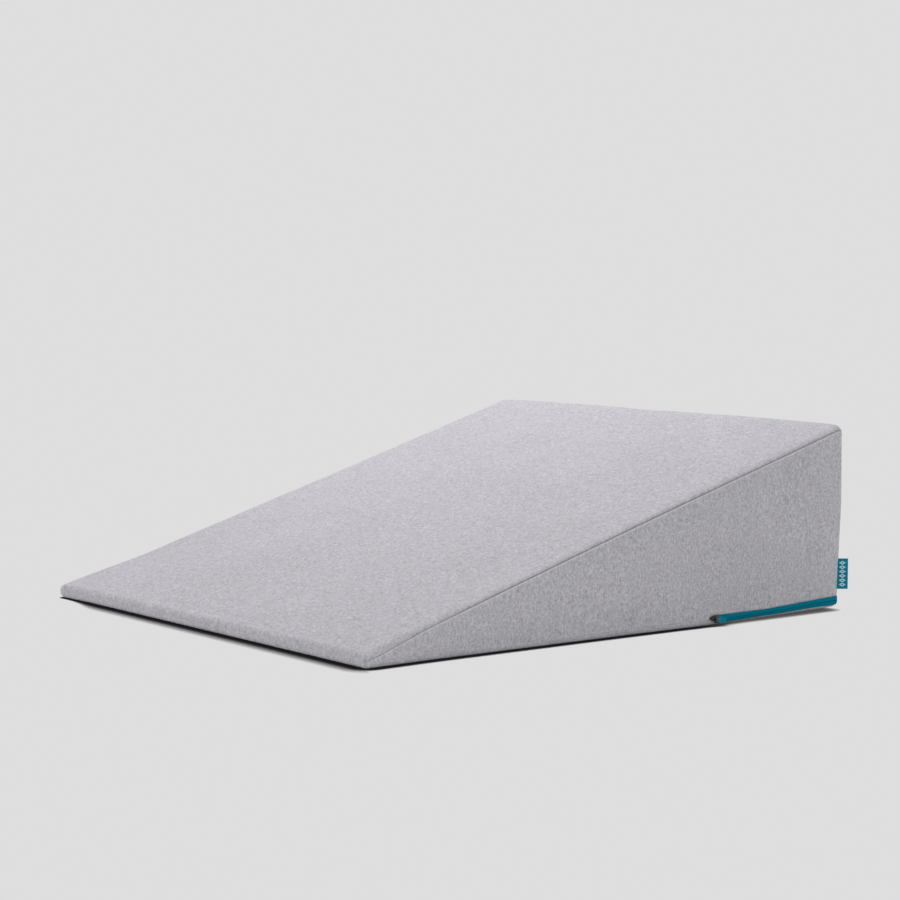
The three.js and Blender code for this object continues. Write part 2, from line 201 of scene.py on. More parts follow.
class CoverLattice:
    """The cover's surface as a lattice of that many flat cells each way and cells round each edge."""

    def __init__(self, flat_cells, round_cells, rows_by_zip):
        across = stops(flat_cells[0], round_cells)
        along = stops(flat_cells[1], round_cells)
        up = stops(flat_cells[2], round_cells, rows_by_zip)
        self.places, self.faces = box_lattice((len(across) - 1, len(along) - 1, len(up) - 1))
        core_x, out_x, _ = across[self.places[:, 0]].T
        core_y, out_y, _ = along[self.places[:, 1]].T
        core_z, out_z, shift = up[self.places[:, 2]].T

        front_radius = ROUND_SHARE_OF_HEIGHT * FRONT_HEIGHT
        y = -LENGTH / 2 + front_radius + core_y * (LENGTH - front_radius - BACK_RADIUS)
        height = slope_height(y)
        most_radius = ROUND_SHARE_OF_HEIGHT * height
        side_radius = np.minimum(SIDE_RADIUS, most_radius)
        half = WIDTH / 2 - side_radius
        x = half * (2 * core_x - 1)
        top_blend = smoothstep(y, 0, LENGTH / 2 - BACK_RADIUS)
        top_radius = np.minimum(SIDE_RADIUS + (BACK_RADIUS - SIDE_RADIUS) * top_blend, most_radius)
        seam_height = np.interp(y + LENGTH / 2, BASE_SEAM_FROM_FRONT, BASE_SEAM_HEIGHT)
        base_radius = np.minimum(seam_height, most_radius)
        core_height = height - top_radius - base_radius
        squeeze = np.minimum(1, core_height / ROWS_SPREAD_FROM)
        flat_height = core_height - squeeze * rows_by_zip[-1]
        z = base_radius + squeeze * shift + core_z * flat_height

        self.on_side = np.abs(out_x) == 1
        self.under_top = self.on_side & (out_z == 1)
        self.at_back = self.on_side & (out_y == 1) & (out_z >= 0)
        self.at_front = self.on_side & (out_y == -1) & (out_z >= 0)
        self.above_base = self.on_side & (core_z == 0) & (out_z == 0) & (shift == 0)
        self.in_side_panel = self.on_side & (out_z >= 0) & (out_z < 1) & (np.abs(out_y) < 1)
        self.in_side_panel &= ~self.above_base
        self.side_sign = np.sign(out_x)

        out = np.stack([out_x, out_y, out_z], axis=1)
        out /= np.maximum(np.linalg.norm(out, axis=1, keepdims=True), 1e-9)
        by_tip = smoothstep(y, -LENGTH / 2, -LENGTH / 2 + SEAM_TURN_LENGTH)
        out = turn_to_seam(out, SEAM_TURN_AT_TIP + (SEAM_TURN - SEAM_TURN_AT_TIP) * by_tip)
        self.points = settle(np.stack([
            x + out[:, 0] * side_radius,
            y + out[:, 1] * np.where(out_y > 0, BACK_RADIUS, front_radius),
            z + out[:, 2] * np.where(out_z > 0, top_radius, base_radius),
        ], axis=1))


def new_object(name, data):
    thing = bpy.data.objects.new(name, data)
    bpy.context.scene.collection.objects.link(thing)
    return thing


def mesh_piece(name, points, faces):
    """A new smooth-shaded object with these points and faces."""
    mesh = bpy.data.meshes.new(name)
    mesh.from_pydata([tuple(point) for point in points], [], [tuple(face) for face in faces])
    mesh.shade_smooth()
    return new_object(name, mesh)


def full_turn(count):
    """Even steps round a full turn."""
    return [2 * pi * n / count for n in range(count)]


def grid_faces(rows, across, first=0, closed=False, round_across=True):
    """Faces between rows of points, each a ring unless round_across is off. A closed grid joins its
    last row to its first."""
    faces = []
    for n in range(rows if closed else rows - 1):
        a = first + n * across
        b = first + (n + 1) % rows * across
        for m in range(across if round_across else across - 1):
            after = (m + 1) % across
            faces.append((a + m, b + m, b + after, a + after))
    return faces


def read_vectors(items, key):
    flat = np.empty(len(items) * 3)
    items.foreach_get(key, flat)
    return flat.reshape(-1, 3)


PRESSURE = 4
PRESSURE_FRAMES = 20
SWELL_LIMIT = 0.002
HELD_BELOW = 0.004
HELD_OVER_ZIP = 0.001
HELD_BY_BACK = 0.020


def pressure_swell(lattice):
    """How far each point of a coarse copy of the cover moves when it is blown up as cloth, held along
    its seams, its base and its zip. All moves are scaled down alike, so that none is past the limit,
    because the foam inside is firm."""
    balloon = mesh_piece("cover_under_pressure", lattice.points, lattice.faces)
    x, y, z = lattice.points.T
    by_zip = (z < ZIP_TOP + HELD_OVER_ZIP) & ((y > LENGTH / 2 - HELD_BY_BACK) | lattice.on_side)
    seams = lattice.under_top | lattice.at_back | lattice.at_front | lattice.above_base
    held = seams | by_zip | (z < HELD_BELOW)
    group = balloon.vertex_groups.new(name="held")
    group.add([int(n) for n in np.flatnonzero(held)], 1.0, "REPLACE")
    cloth = balloon.modifiers.new("Cloth", "CLOTH")
    settings = cloth.settings
    settings.quality = 6
    settings.mass = 0.3
    settings.tension_stiffness = 40
    settings.compression_stiffness = 40
    settings.shear_stiffness = 10
    settings.bending_stiffness = 2
    settings.vertex_group_mass = "held"
    settings.use_pressure = True
    settings.uniform_pressure_force = PRESSURE
    settings.effector_weights.gravity = 0
    cloth.collision_settings.use_collision = False
    cloth.point_cache.frame_start = 1
    cloth.point_cache.frame_end = PRESSURE_FRAMES
    for number in range(1, PRESSURE_FRAMES + 1):
        bpy.context.scene.frame_set(number)
    blown = balloon.evaluated_get(bpy.context.evaluated_depsgraph_get())
    moved = read_vectors(blown.data.vertices, "co") - lattice.points
    bpy.context.scene.frame_set(1)
    bpy.data.objects.remove(balloon)
    return moved * min(1, SWELL_LIMIT / np.linalg.norm(moved, axis=1).max())


def carry_moves(coarse, moves, points):
    """The moves of a coarse surface's points, carried to other points on the same surface."""
    tree = BVHTree.FromPolygons([Vector(point) for point in coarse.points], coarse.faces)
    carried = np.zeros_like(points)
    for number, point in enumerate(points):
        near, _, face, _ = tree.find_nearest(Vector(point))
        ring = coarse.faces[face]
        corners = coarse.points[ring]
        closeness = 1 / (np.linalg.norm(corners - np.array(near), axis=1) + 1e-6) ** 2
        carried[number] = closeness @ moves[ring] / closeness.sum()
    return carried


SEAM_REACH = 0.025
TOP_SEAM_PULL = 1.0
BASE_SEAM_PULL = 0.22
BACK_SEAM_PULL = 0.6
SEAM_PULL_AT_TIP = 0.6
SEAM_PULL_GROWS = 0.200
POINTS_AT_A_TIME = 4000


def front_share(y):
    """1 at the front edge, falling to 0 where the seams are fully drawn in."""
    return 1 - smoothstep(y, -LENGTH / 2, -LENGTH / 2 + SEAM_PULL_GROWS)


def seam_lines(lattice):
    """Each side's seams, as lists of point numbers in order, and how hard each is drawn in."""
    lines = []
    for side in (-1, 1):
        for chosen, axis, pull in (
            (lattice.under_top, 1, TOP_SEAM_PULL),
            (lattice.above_base, 1, BASE_SEAM_PULL),
            (lattice.at_back, 2, BACK_SEAM_PULL),
            (lattice.at_front, 2, TOP_SEAM_PULL),
        ):
            numbers = np.flatnonzero(chosen & (lattice.side_sign == side))
            lines.append((numbers[np.argsort(lattice.places[numbers, axis])], pull))
    return lines


def measure_seams(lattice, points):
    """For each point, how far it is from the nearest seam, below zero on a side panel, how far along
    that seam it is, and how hard the seam is drawn in."""
    away = np.full(len(points), SEAM_REACH)
    along = np.zeros(len(points))
    drawn = np.zeros(len(points))
    for line, pull in seam_lines(lattice):
        start = points[line[:-1]]
        step = points[line[1:]] - start
        length = np.linalg.norm(step, axis=1)
        step_squared = np.maximum(length ** 2, 1e-14)
        run = np.concatenate([[0], np.cumsum(length)])
        low = points[line].min(axis=0) - SEAM_REACH
        high = points[line].max(axis=0) + SEAM_REACH
        near = np.flatnonzero(np.all((points > low) & (points < high), axis=1))
        for part in np.array_split(near, 1 + len(near) // POINTS_AT_A_TIME):
            offset = points[part][:, None] - start[None]
            share = np.clip((offset * step).sum(axis=2) / step_squared, 0, 1)
            gap = np.linalg.norm(offset - share[..., None] * step, axis=2)
            best = gap.argmin(axis=1)
            rows = np.arange(len(part))
            closer = gap[rows, best] < away[part]
            chosen = part[closer]
            away[chosen] = gap[rows, best][closer]
            along[chosen] = (run[best] + share[rows, best] * length[best])[closer]
            drawn[chosen] = pull * (1 + (SEAM_PULL_AT_TIP - 1) * front_share(points[chosen, 1]))
    return np.where(lattice.in_side_panel, -away, away), along, drawn


def hump(value, middle, width):
    return np.exp(-((value - middle) / width) ** 2)


def zip_edges(from_end):
    """Heights of the zip's lower and upper edges, that far from its nearest end: it is sewn on a
    little unevenly."""
    low = ZIP_BOTTOM + np.interp(from_end, ZIP_PLACES, ZIP_BOTTOM_DRIFT)
    high = ZIP_TOP + np.interp(from_end, ZIP_PLACES, ZIP_TOP_DRIFT)
    return low, high


def noise_at(points, size, seed):
    """Smooth noise from -1 to 1 whose lumps are that big."""
    shift = Vector((seed * 7.3, seed * 3.1, seed * 5.7))
    return np.array([noise.noise(Vector(point) / size + shift) for point in points])


# Heights and depths of the relief are in mm. A seam's groove and ridges each have a height, a place
# beside the seam and a width in mm. Each wave of the uneven lie has a height, a size in metres and a
# seed for its noise
SEAM_PROFILE = ((-0.85, 0, 0.8), (0.34, -1.9, 0.9), (0.2, 2.2, 1.3))
PUCKER_HEIGHT = 0.16
PUCKER_PITCH = 0.0105
PUCKER_REACH = 6
UNEVEN_LIE = ((0.45, 0.085, 3), (0.16, 0.030, 4))
RELIEF_FROM_HEIGHT = (0.002, 0.008)
CHANNEL_STARTS = (0.003, 0.007)
CHANNEL_DEPTH = 1.5
CHANNEL_BELOW = (-0.0010, 0.0002)
CHANNEL_ABOVE = (-0.0002, 0.0008)
LIP_HEIGHT = 0.35
LIP_PLACE = 0.0018
LIP_WIDTH = 0.0012
BY_BACK = 0.030

coarse_cover = CoverLattice((34, 38, 14), 3, (0.0025,))
cover_lattice = CoverLattice((126, 140, 40), 7, (0.0012, 0.0025, 0.0038, 0.0046, 0.0054))
cover_points = cover_lattice.points
swell = pressure_swell(coarse_cover)
cover_points = cover_points + carry_moves(coarse_cover, swell, cover_points)

seam_gap, seam_run, seam_pull = measure_seams(cover_lattice, cover_points)
cover = mesh_piece("cover", cover_points, cover_lattice.faces)
normals = read_vectors(cover.data.vertex_normals, "vector")
x, y, z = cover_points.T
off_base = smoothstep(z, *RELIEF_FROM_HEIGHT)

# Seams pull in, with a small ridge on the side panel's edge, and pucker the cloth beside them
mm = seam_gap * 1000
pucker_phase = seam_run / PUCKER_PITCH + 0.8 * noise_at(cover_points, 0.03, 2)
pucker = np.sin(2 * pi * pucker_phase) * hump(mm, 0, PUCKER_REACH) * (1 - hump(mm, 0, 1))
relief = sum(height * hump(mm, middle, width) for height, middle, width in SEAM_PROFILE)
relief = seam_pull * (relief + PUCKER_HEIGHT * pucker)

# The cloth lies a little unevenly on the foam
for height, size, seed in UNEVEN_LIE:
    relief = relief + height * noise_at(cover_points, size, seed)

# It turns in to the zip, and rolls over it
from_zip_end = y - (LENGTH / 2 - ZIP_LENGTH_ON_SIDE)
from_zip_end = from_zip_end + np.where(cover_lattice.on_side, 0, WIDTH / 2 - np.abs(x))
zip_low, zip_high = zip_edges(from_zip_end)
by_wall = cover_lattice.on_side | (y > LENGTH / 2 - BY_BACK)
plain_z = z - CORNER_LIFT * by_back_corner(x, y)
in_zip = smoothstep(from_zip_end, *CHANNEL_STARTS) * by_wall
channel = smoothstep(plain_z, zip_low + CHANNEL_BELOW[0], zip_low + CHANNEL_BELOW[1])
channel = channel * (1 - smoothstep(plain_z, zip_high + CHANNEL_ABOVE[0], zip_high + CHANNEL_ABOVE[1]))
lip = hump(plain_z, zip_high + LIP_PLACE, LIP_WIDTH)
relief = relief * off_base + in_zip * (LIP_HEIGHT * lip - CHANNEL_DEPTH * channel)

cover_points = cover_points + normals * relief[:, None] / 1000
cover_points[:, 2] = np.maximum(cover_points[:, 2], 0)
cover.data.vertices.foreach_set("co", cover_points.ravel())
for measure, values in (("seam", mm), ("seam_pull", seam_pull)):
    cover.data.attributes.new(measure, "FLOAT", "POINT").data.foreach_set("value", values)
cover.data.update()


def add(tree, kind, inputs=None, **settings):
    """Adds a node with its settings, and feeds its inputs from numbers or from other sockets."""
    node = tree.nodes.new(kind)
    for name, value in settings.items():
        setattr(node, name, value)
    for name, value in (inputs or {}).items():
        if isinstance(value, bpy.types.NodeSocket):
            tree.links.new(value, node.inputs[name])
        else:
            node.inputs[name].default_value = value
    return node


def calc(tree, operation, first, second=0.0, third=0.0):
    return add(tree, "ShaderNodeMath", {0: first, 1: second, 2: third}, operation=operation).outputs[0]


def times(tree, first, second):
    return calc(tree, "MULTIPLY", first, second)


def between(tree, share, first, second):
    """The first number where the share is 0, and the second where it is 1."""
    return calc(tree, "MULTIPLY_ADD", share, second - first, first)


def blend(tree, share, first, second):
    return add(tree, "ShaderNodeMix", {0: share, 6: first, 7: second}, data_type="RGBA").outputs[2]


def noise_value(tree, place, scale, detail=2.0, roughness=0.5):
    inputs = {"Vector": place, "Scale": scale, "Detail": detail, "Roughness": roughness}
    return add(tree, "ShaderNodeTexNoise", inputs).outputs[0]


def ramp(tree, value, zero_at, one_at):
    """A smooth ramp between two values, either of which may be the higher."""
    inputs = {0: value, 1: zero_at, 2: one_at}
    return add(tree, "ShaderNodeMapRange", inputs, interpolation_type="SMOOTHSTEP").outputs[0]


def band(tree, value, rise, fall):
    """1 inside a band of values and 0 outside it, with a smooth rise and a smooth fall."""
    return times(tree, ramp(tree, value, *rise), ramp(tree, value, *fall))


def feed_shader(tree, shader, colour, uneven, roughness, height=None, bump=None):
    """Feeds the shader its colour, a roughness that runs between two numbers with the uneven value,
    and a bump from the height, where its strength and distance are given."""
    tree.links.new(colour, shader.inputs["Base Color"])
    tree.links.new(between(tree, uneven, *roughness), shader.inputs["Roughness"])
    if bump:
        inputs = {"Strength": bump[0], "Distance": bump[1], "Height": height}
        tree.links.new(add(tree, "ShaderNodeBump", inputs).outputs[0], shader.inputs["Normal"])


def material_tree(name, shader_inputs):
    """A new material whose Principled shader has these fixed values. Gives the material, its tree
    and the shader."""
    material = bpy.data.materials.new(name)
    material.use_nodes = True
    shader = material.node_tree.nodes["Principled BSDF"]
    for key, value in shader_inputs.items():
        shader.inputs[key].default_value = value
    return material, material.node_tree, shader


def object_place(tree):
    """The place on the piece in metres: the socket, and its three parts."""
    place = add(tree, "ShaderNodeTexCoord").outputs["Object"]
    return place, add(tree, "ShaderNodeSeparateXYZ", {0: place}).outputs


def thread_group():
    """Crossed threads for every woven material: from a place across and along the cloth in metres,
    and the distance between threads, it gives how high the weave stands there."""
    group = bpy.data.node_groups.new("crossed_threads", "ShaderNodeTree")
    for name, value in (("Across", 0.0), ("Along", 0.0), ("Thread", 0.001)):
        socket = group.interface.new_socket(name, in_out="INPUT", socket_type="NodeSocketFloat")
        socket.default_value = value
    group.interface.new_socket("Height", in_out="OUTPUT", socket_type="NodeSocketFloat")
    given = group.nodes.new("NodeGroupInput").outputs
    turns = calc(group, "DIVIDE", 2 * pi, given["Thread"])
    across = calc(group, "SINE", times(group, given["Across"], turns))
    along = calc(group, "SINE", times(group, given["Along"], turns))
    add(group, "NodeGroupOutput", {"Height": times(group, across, along)})
    return group


crossed_threads = thread_group()


def woven_height(tree, across, along, thread):
    inputs = {"Across": across, "Along": along, "Thread": thread}
    return add(tree, "ShaderNodeGroup", inputs, node_tree=crossed_threads).outputs["Height"]


MELANGE = ((0.318, 0.311, 0.336, 1), (0.700, 0.688, 0.734, 1))
# Painted shade for the groove of each seam, where the panels meet
SEAM_SHADE = (0.10, 0.10, 0.105, 1)
# Painted highlight beside the seams, on the side panel's ridge and on the top panel's roll
SEAM_HIGHLIGHT = (0.80, 0.785, 0.83, 1)
SEAM_SHADE_SHARE = 0.52
RIDGE_HIGHLIGHT_SHARE = 0.50
# Share of the fainter painted highlight on the top panel where it rolls over to its seams
ROLL_HIGHLIGHT_SHARE = 0.18

# Ramps of the painted shade in a seam's groove and of the painted highlights beside it, from where
# each is gone to where it is full. All but the last are in mm from the seam, below zero on a side
# panel, and the last is in the seam's pull
SEAM_SHADE_RAMP = (0.85, 0.15)
RIDGE_HIGHLIGHT_RAMPS = ((-2.5, -1.6), (-0.6, -1.1))
ROLL_HIGHLIGHT_RAMPS = ((0.7, 2.0), (9.0, 4.0))
ROLL_HIGHLIGHT_PULL_RAMP = (0.65, 1.0)

# Each pair is for the slope and for upright cloth, which is the side panels and the back. For the
# stretch of the slubs it is the side panels alone
SLUB_STRETCH = ((0.72, 1.0), (0.72, 1.0), (0.60, 0.45))
FINENESS = (1.0, 1.30)
FIBRE_STRENGTH = (0.76, 1.02)
BAND_STRENGTH = (0.36, 0.24)
SLUB_SCALE = 420.0
SLUB_CONTRAST = 0.9
FLECK_SCALE = 450.0
FLECK_CONTRAST = 1.1
CLOUD_CONTRAST = 0.16
BACK_TURN = (LENGTH / 2 - 0.014, LENGTH / 2 - 0.004)
THREAD = 0.0008
WEAVE_SHARE = 0.25


def melange_cloth():
    """Melange cloth: dark and light fibres spun together, woven with short slubs that run along the
    long panel and up the side panels."""
    material, tree, shader = material_tree("melange_cloth", {
        "Specular IOR Level": 0.2,
        "Sheen Weight": 0.10,
        "Sheen Roughness": 0.45,
    })
    place, parts = object_place(tree)
    seam = add(tree, "ShaderNodeAttribute", attribute_name="seam").outputs["Fac"]
    seam_pull = add(tree, "ShaderNodeAttribute", attribute_name="seam_pull").outputs["Fac"]
    on_side = calc(tree, "LESS_THAN", seam, 0.0)
    stretched = {}
    for axis, values in enumerate(SLUB_STRETCH):
        stretched[axis] = times(tree, parts[axis], between(tree, on_side, *values))
    slub_place = add(tree, "ShaderNodeCombineXYZ", stretched).outputs[0]

    upright = calc(tree, "MAXIMUM", on_side, ramp(tree, parts[1], *BACK_TURN))
    fineness = between(tree, upright, *FINENESS)
    slubs = noise_value(tree, slub_place, times(tree, fineness, SLUB_SCALE), detail=1.0)
    flecks = noise_value(tree, place, times(tree, fineness, FLECK_SCALE), detail=1.0)
    bands = noise_value(tree, slub_place, scale=170.0)
    clouds = noise_value(tree, place, scale=11.0)
    fibres = calc(tree, "MULTIPLY_ADD", slubs, SLUB_CONTRAST, -SLUB_CONTRAST / 2)
    fibres = calc(tree, "SUBTRACT", fibres, FLECK_CONTRAST / 2)
    fibres = calc(tree, "MULTIPLY_ADD", flecks, FLECK_CONTRAST, fibres)
    fibres = times(tree, fibres, between(tree, upright, *FIBRE_STRENGTH))
    banding = calc(tree, "SUBTRACT", bands, 0.5)
    banding = times(tree, banding, between(tree, upright, *BAND_STRENGTH))
    tone = calc(tree, "ADD", calc(tree, "ADD", fibres, 0.5), banding)
    tone = calc(tree, "SUBTRACT", tone, CLOUD_CONTRAST / 2)
    tone = calc(tree, "MULTIPLY_ADD", clouds, CLOUD_CONTRAST, tone)
    colour = blend(tree, tone, *MELANGE)

    # Painted shade in each seam's groove
    seam_shade_mask = ramp(tree, calc(tree, "ABSOLUTE", seam), *SEAM_SHADE_RAMP)
    seam_shade_mask = times(tree, seam_shade_mask, seam_pull)
    # A painted highlight on the side panel's ridge beside the seam
    ridge_highlight = times(tree, band(tree, seam, *RIDGE_HIGHLIGHT_RAMPS), seam_pull)
    # A fainter painted highlight on the top panel where it rolls over to the top seams, in the same
    # light tint
    roll_highlight = ramp(tree, seam_pull, *ROLL_HIGHLIGHT_PULL_RAMP)
    roll_highlight = times(tree, band(tree, seam, *ROLL_HIGHLIGHT_RAMPS), roll_highlight)
    for mask, share, tint in (
        (seam_shade_mask, SEAM_SHADE_SHARE, SEAM_SHADE),
        (ridge_highlight, RIDGE_HIGHLIGHT_SHARE, SEAM_HIGHLIGHT),
        (roll_highlight, ROLL_HIGHLIGHT_SHARE, SEAM_HIGHLIGHT),
    ):
        colour = blend(tree, times(tree, mask, share), colour, tint)

    across = blend(tree, on_side, parts[0], parts[1])
    along = blend(tree, on_side, calc(tree, "ADD", parts[1], parts[2]), parts[2])
    weave = woven_height(tree, across, along, THREAD)
    height = calc(tree, "MULTIPLY_ADD", weave, WEAVE_SHARE, tone)
    feed_shader(tree, shader, colour, flecks, (0.84, 0.96), height, bump=(0.35, 0.0005))
    return material


cover.data.materials.append(melange_cloth())
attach(cover, "root")
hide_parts("cushion")


# Zip tapes
# Two teal tapes of woven polyester close the cover low round its back: the upper is sewn to the side
# panels and the back, the lower to the base. Together they bow outward over the coil and nearly hide
# it.
TAPE_PROUD = 0.0002
TAPE_THICKNESS = 0.0012
TAPE_BOW = 0.0006
TAPE_PARTING = 0.0005
TAPE_START = 0.0085
ZIP_STEP = 0.0040
CORNER_STEPS = 10
TAPE_FRONT_POINTS = 10
TAPE_EDGE_ROUND = 0.0003
TEAL = ((0.0005, 0.165, 0.245, 1), (0.0015, 0.235, 0.340, 1))


def zip_plan(step):
    """Plan of the wall that the zip follows, from the right front end round the back to the left:
    rows of x, y, the outward normal, and how far the nearest end is."""
    side_x = WIDTH / 2
    back_y = LENGTH / 2
    side_length = ZIP_LENGTH_ON_SIDE - BACK_RADIUS
    right = []
    for run in np.linspace(TAPE_START, side_length, round(side_length / step), endpoint=False):
        right.append((side_x, back_y - ZIP_LENGTH_ON_SIDE + run, 1, 0, run))
    for turn in np.linspace(0, pi / 2, CORNER_STEPS + 1):
        normal = (cos(turn), sin(turn))
        x = side_x - SIDE_RADIUS + SIDE_RADIUS * normal[0]
        y = back_y - BACK_RADIUS + BACK_RADIUS * normal[1]
        right.append((x, y, *normal, side_length + BACK_RADIUS * turn))
    across = side_x - SIDE_RADIUS
    back = []
    for x in np.linspace(across, -across, round(2 * across / step))[1:-1]:
        back.append((x, back_y, 0, 1, right[-1][4] + across - abs(x)))
    left = [(-x, y, -normal_x, normal_y, run) for x, y, normal_x, normal_y, run in reversed(right)]
    return np.array(right + back + left)


def base_round(z):
    """How far the round edge above the base lies inside the wall at a height."""
    below = np.clip(BASE_RADIUS - z, 0, BASE_RADIUS)
    return BASE_RADIUS - np.sqrt(BASE_RADIUS ** 2 - below ** 2)


def on_wall(plan, depth, height):
    """Points on the settled wall, that far out of it and at that height."""
    out = depth - base_round(height)
    x = plan[:, 0] + plan[:, 2] * out
    y = plan[:, 1] + plan[:, 3] * out
    return settle(np.stack([x, y, height + np.zeros(len(plan))], axis=1))


def zip_tape(name, upper):
    """One tape as a closed band: flat behind, bowed in front, from its sewn edge to the parting."""
    plan = zip_plan(ZIP_STEP)
    low, high = zip_edges(plan[:, 4])
    middle = (low + high) / 2
    sewn, parted = (high, middle + TAPE_PARTING / 2) if upper else (low, middle - TAPE_PARTING / 2)
    loops = [on_wall(plan, TAPE_PROUD - TAPE_THICKNESS, edge) for edge in (parted, sewn)]
    for n in range(TAPE_FRONT_POINTS + 1):
        share = n / TAPE_FRONT_POINTS
        bow = sin(pi / 2 * share)
        edge = 1 - sqrt(max(0, 1 - (2 * share - 1) ** 8))
        depth = TAPE_PROUD + TAPE_BOW * bow - TAPE_EDGE_ROUND * edge
        loops.append(on_wall(plan, depth, sewn + share * (parted - sewn)))
    if upper:
        loops.reverse()
    points = np.stack(loops, axis=1)
    count, around = points.shape[:2]
    faces = grid_faces(count, around)
    faces.append(tuple(range(around)))
    faces.append(tuple((count - 1) * around + m for m in reversed(range(around))))
    return mesh_piece(name, points.reshape(-1, 3), faces)


def woven_tape():
    """Woven polyester tape, dyed a deep teal."""
    material, tree, shader = material_tree("zip_tape_cloth", {"Specular IOR Level": 0.03})
    place, parts = object_place(tree)
    uneven = noise_value(tree, place, scale=900.0, detail=1.0)
    clouds = noise_value(tree, place, scale=40.0)
    tone = calc(tree, "MULTIPLY_ADD", uneven, 0.5, calc(tree, "MULTIPLY_ADD", clouds, 0.6, -0.05))
    colour = blend(tree, tone, *TEAL)
    height = woven_height(tree, calc(tree, "ADD", parts[0], parts[1]), parts[2], THREAD)
    feed_shader(tree, shader, colour, uneven, (0.75, 0.95), height, bump=(0.4, 0.0001))
    return material


tape_cloth = woven_tape()
for name, node, upper in (
    ("tape_above_coil", "zip_tape_upper", True),
    ("tape_below_coil", "zip_tape_lower", False),
):
    tape = zip_tape(name, upper)
    tape.data.materials.append(tape_cloth)
    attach(tape, "root")
    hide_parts(node)


# Zip coil
# The closed coil between the tapes: nylon thread wound in loops, hooked into each other, in the
# tapes' own colour.
COIL_WIRE = 0.00022
COIL_LOOP_HEIGHT = 0.00115
COIL_LOOP_PITCH = 0.00100
COIL_DEPTH = 0.00010
LOOP_HALF_DEPTH = 0.00045
LOOP_LEAN = 0.35
LOOP_POINTS = 10
WIRE_SIDES = 5


def coil_loops():
    """A row of flat upright loops, each leaning a little, joined as one mesh."""
    plan = zip_plan(COIL_LOOP_PITCH)
    low, high = zip_edges(plan[:, 4])
    centres = on_wall(plan, COIL_DEPTH, (low + high) / 2)
    points = []
    faces = []
    for number, centre in enumerate(centres):
        outward = np.array([plan[number, 2], plan[number, 3], 0])
        forward = np.array([-outward[1], outward[0], 0])
        lean = LOOP_LEAN if number % 2 else -LOOP_LEAN
        faces += grid_faces(LOOP_POINTS, WIRE_SIDES, len(points), closed=True)
        up = np.array([0, 0, 1]) + lean * forward
        for turn in full_turn(LOOP_POINTS):
            radial = cos(turn) * outward * LOOP_HALF_DEPTH
            radial = radial + sin(turn) * up * COIL_LOOP_HEIGHT / 2
            radial_unit = radial / np.linalg.norm(radial)
            for wire_turn in full_turn(WIRE_SIDES):
                wire = cos(wire_turn) * radial_unit + sin(wire_turn) * forward
                points.append(centre + radial + COIL_WIRE * wire)
    return mesh_piece("coil_loops", points, faces)


def nylon_coil():
    """Nylon thread in the colour of the tapes, a little smoother than them."""
    material, tree, shader = material_tree("nylon_coil", {"Specular IOR Level": 0.08})
    uneven = noise_value(tree, object_place(tree)[0], scale=400.0)
    feed_shader(tree, shader, blend(tree, uneven, *TEAL), uneven, (0.5, 0.7))
    return material


coil = coil_loops()
coil.data.materials.append(nylon_coil())
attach(coil, "root")
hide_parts("zip_coil")


# Zip slider
# A cast metal slider with a dark plated finish stands at the zip's right front end. An arched bridge
# on its face holds the pull.
PLATE_THICKNESS = 0.0015
BRIDGE_RADIUS = 0.0021
BRIDGE_LEG = 0.001
BRIDGE_SUNK = 0.0002
BRIDGE_WIRE = (0.0009, 0.0018)
BRIDGE_MIDDLE = 0.0014
BRIDGE_STEPS = 12
SLIDER_RISE = 0.0010
NOSE_REACH = 0.0016

# The rest of the outline, as shares of half the slider's box
NOSE_FLAT = 0.10
SHOULDER = (0.05, 0.86)
TAIL_HEIGHT = 0.62
TAIL_CURVE = 0.5
NOSE_CURVE = (0.72, 0.80)

METAL = ((0.030, 0.030, 0.028, 1), (0.085, 0.082, 0.076, 1))
# Painted highlight for the slider's bridge, and how far out from the face it begins
METAL_HIGHLIGHT = (0.16, 0.19, 0.18, 1)
HIGHLIGHT_FROM = 0.0010

slider_low, slider_high = (Vector(corner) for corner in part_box("zip_slider"))
slider_seat = (slider_low + slider_high) / 2
slider_seat.x = slider_low.x
slider_seat.z += SLIDER_RISE


def curve_points(start, pull, end, count):
    """Points of a quadratic curve, without its start."""
    shares = [n / count for n in range(1, count + 1)]
    return [start * (1 - s) ** 2 + 2 * pull * s * (1 - s) + end * s * s for s in shares]


def extrude_side(shape, outline, thickness, bevel):
    """Adds a plate with rounded outer edges to the mesh. Outline points are (to the back, up), and its
    thickness runs outward."""
    ring = [shape.verts.new((0, u, v)) for u, v in outline]
    face = shape.faces.new(ring)
    moved = bmesh.ops.extrude_face_region(shape, geom=[face])["geom"]
    top = [item for item in moved if isinstance(item, bmesh.types.BMVert)]
    bmesh.ops.translate(shape, verts=top, vec=(thickness, 0, 0))
    edges = [edge for edge in shape.edges if all(vert in top for vert in edge.verts)]
    bmesh.ops.bevel(shape, geom=edges, offset=bevel, segments=3, affect="EDGES", profile=0.5)


def skin_rings(shape, rings, closed=False):
    """Adds the faces of a tube to the mesh, between rings of its points."""
    points = [point for ring in rings for point in ring]
    for face in grid_faces(len(rings), len(rings[0]), closed=closed):
        shape.faces.new([points[number] for number in face])


def finish_shape(name, shape):
    bmesh.ops.recalc_face_normals(shape, faces=shape.faces)
    mesh = bpy.data.meshes.new(name)
    shape.to_mesh(mesh)
    shape.free()
    mesh.shade_smooth()
    mesh.set_sharp_from_angle(angle=radians(40))
    return new_object(name, mesh)


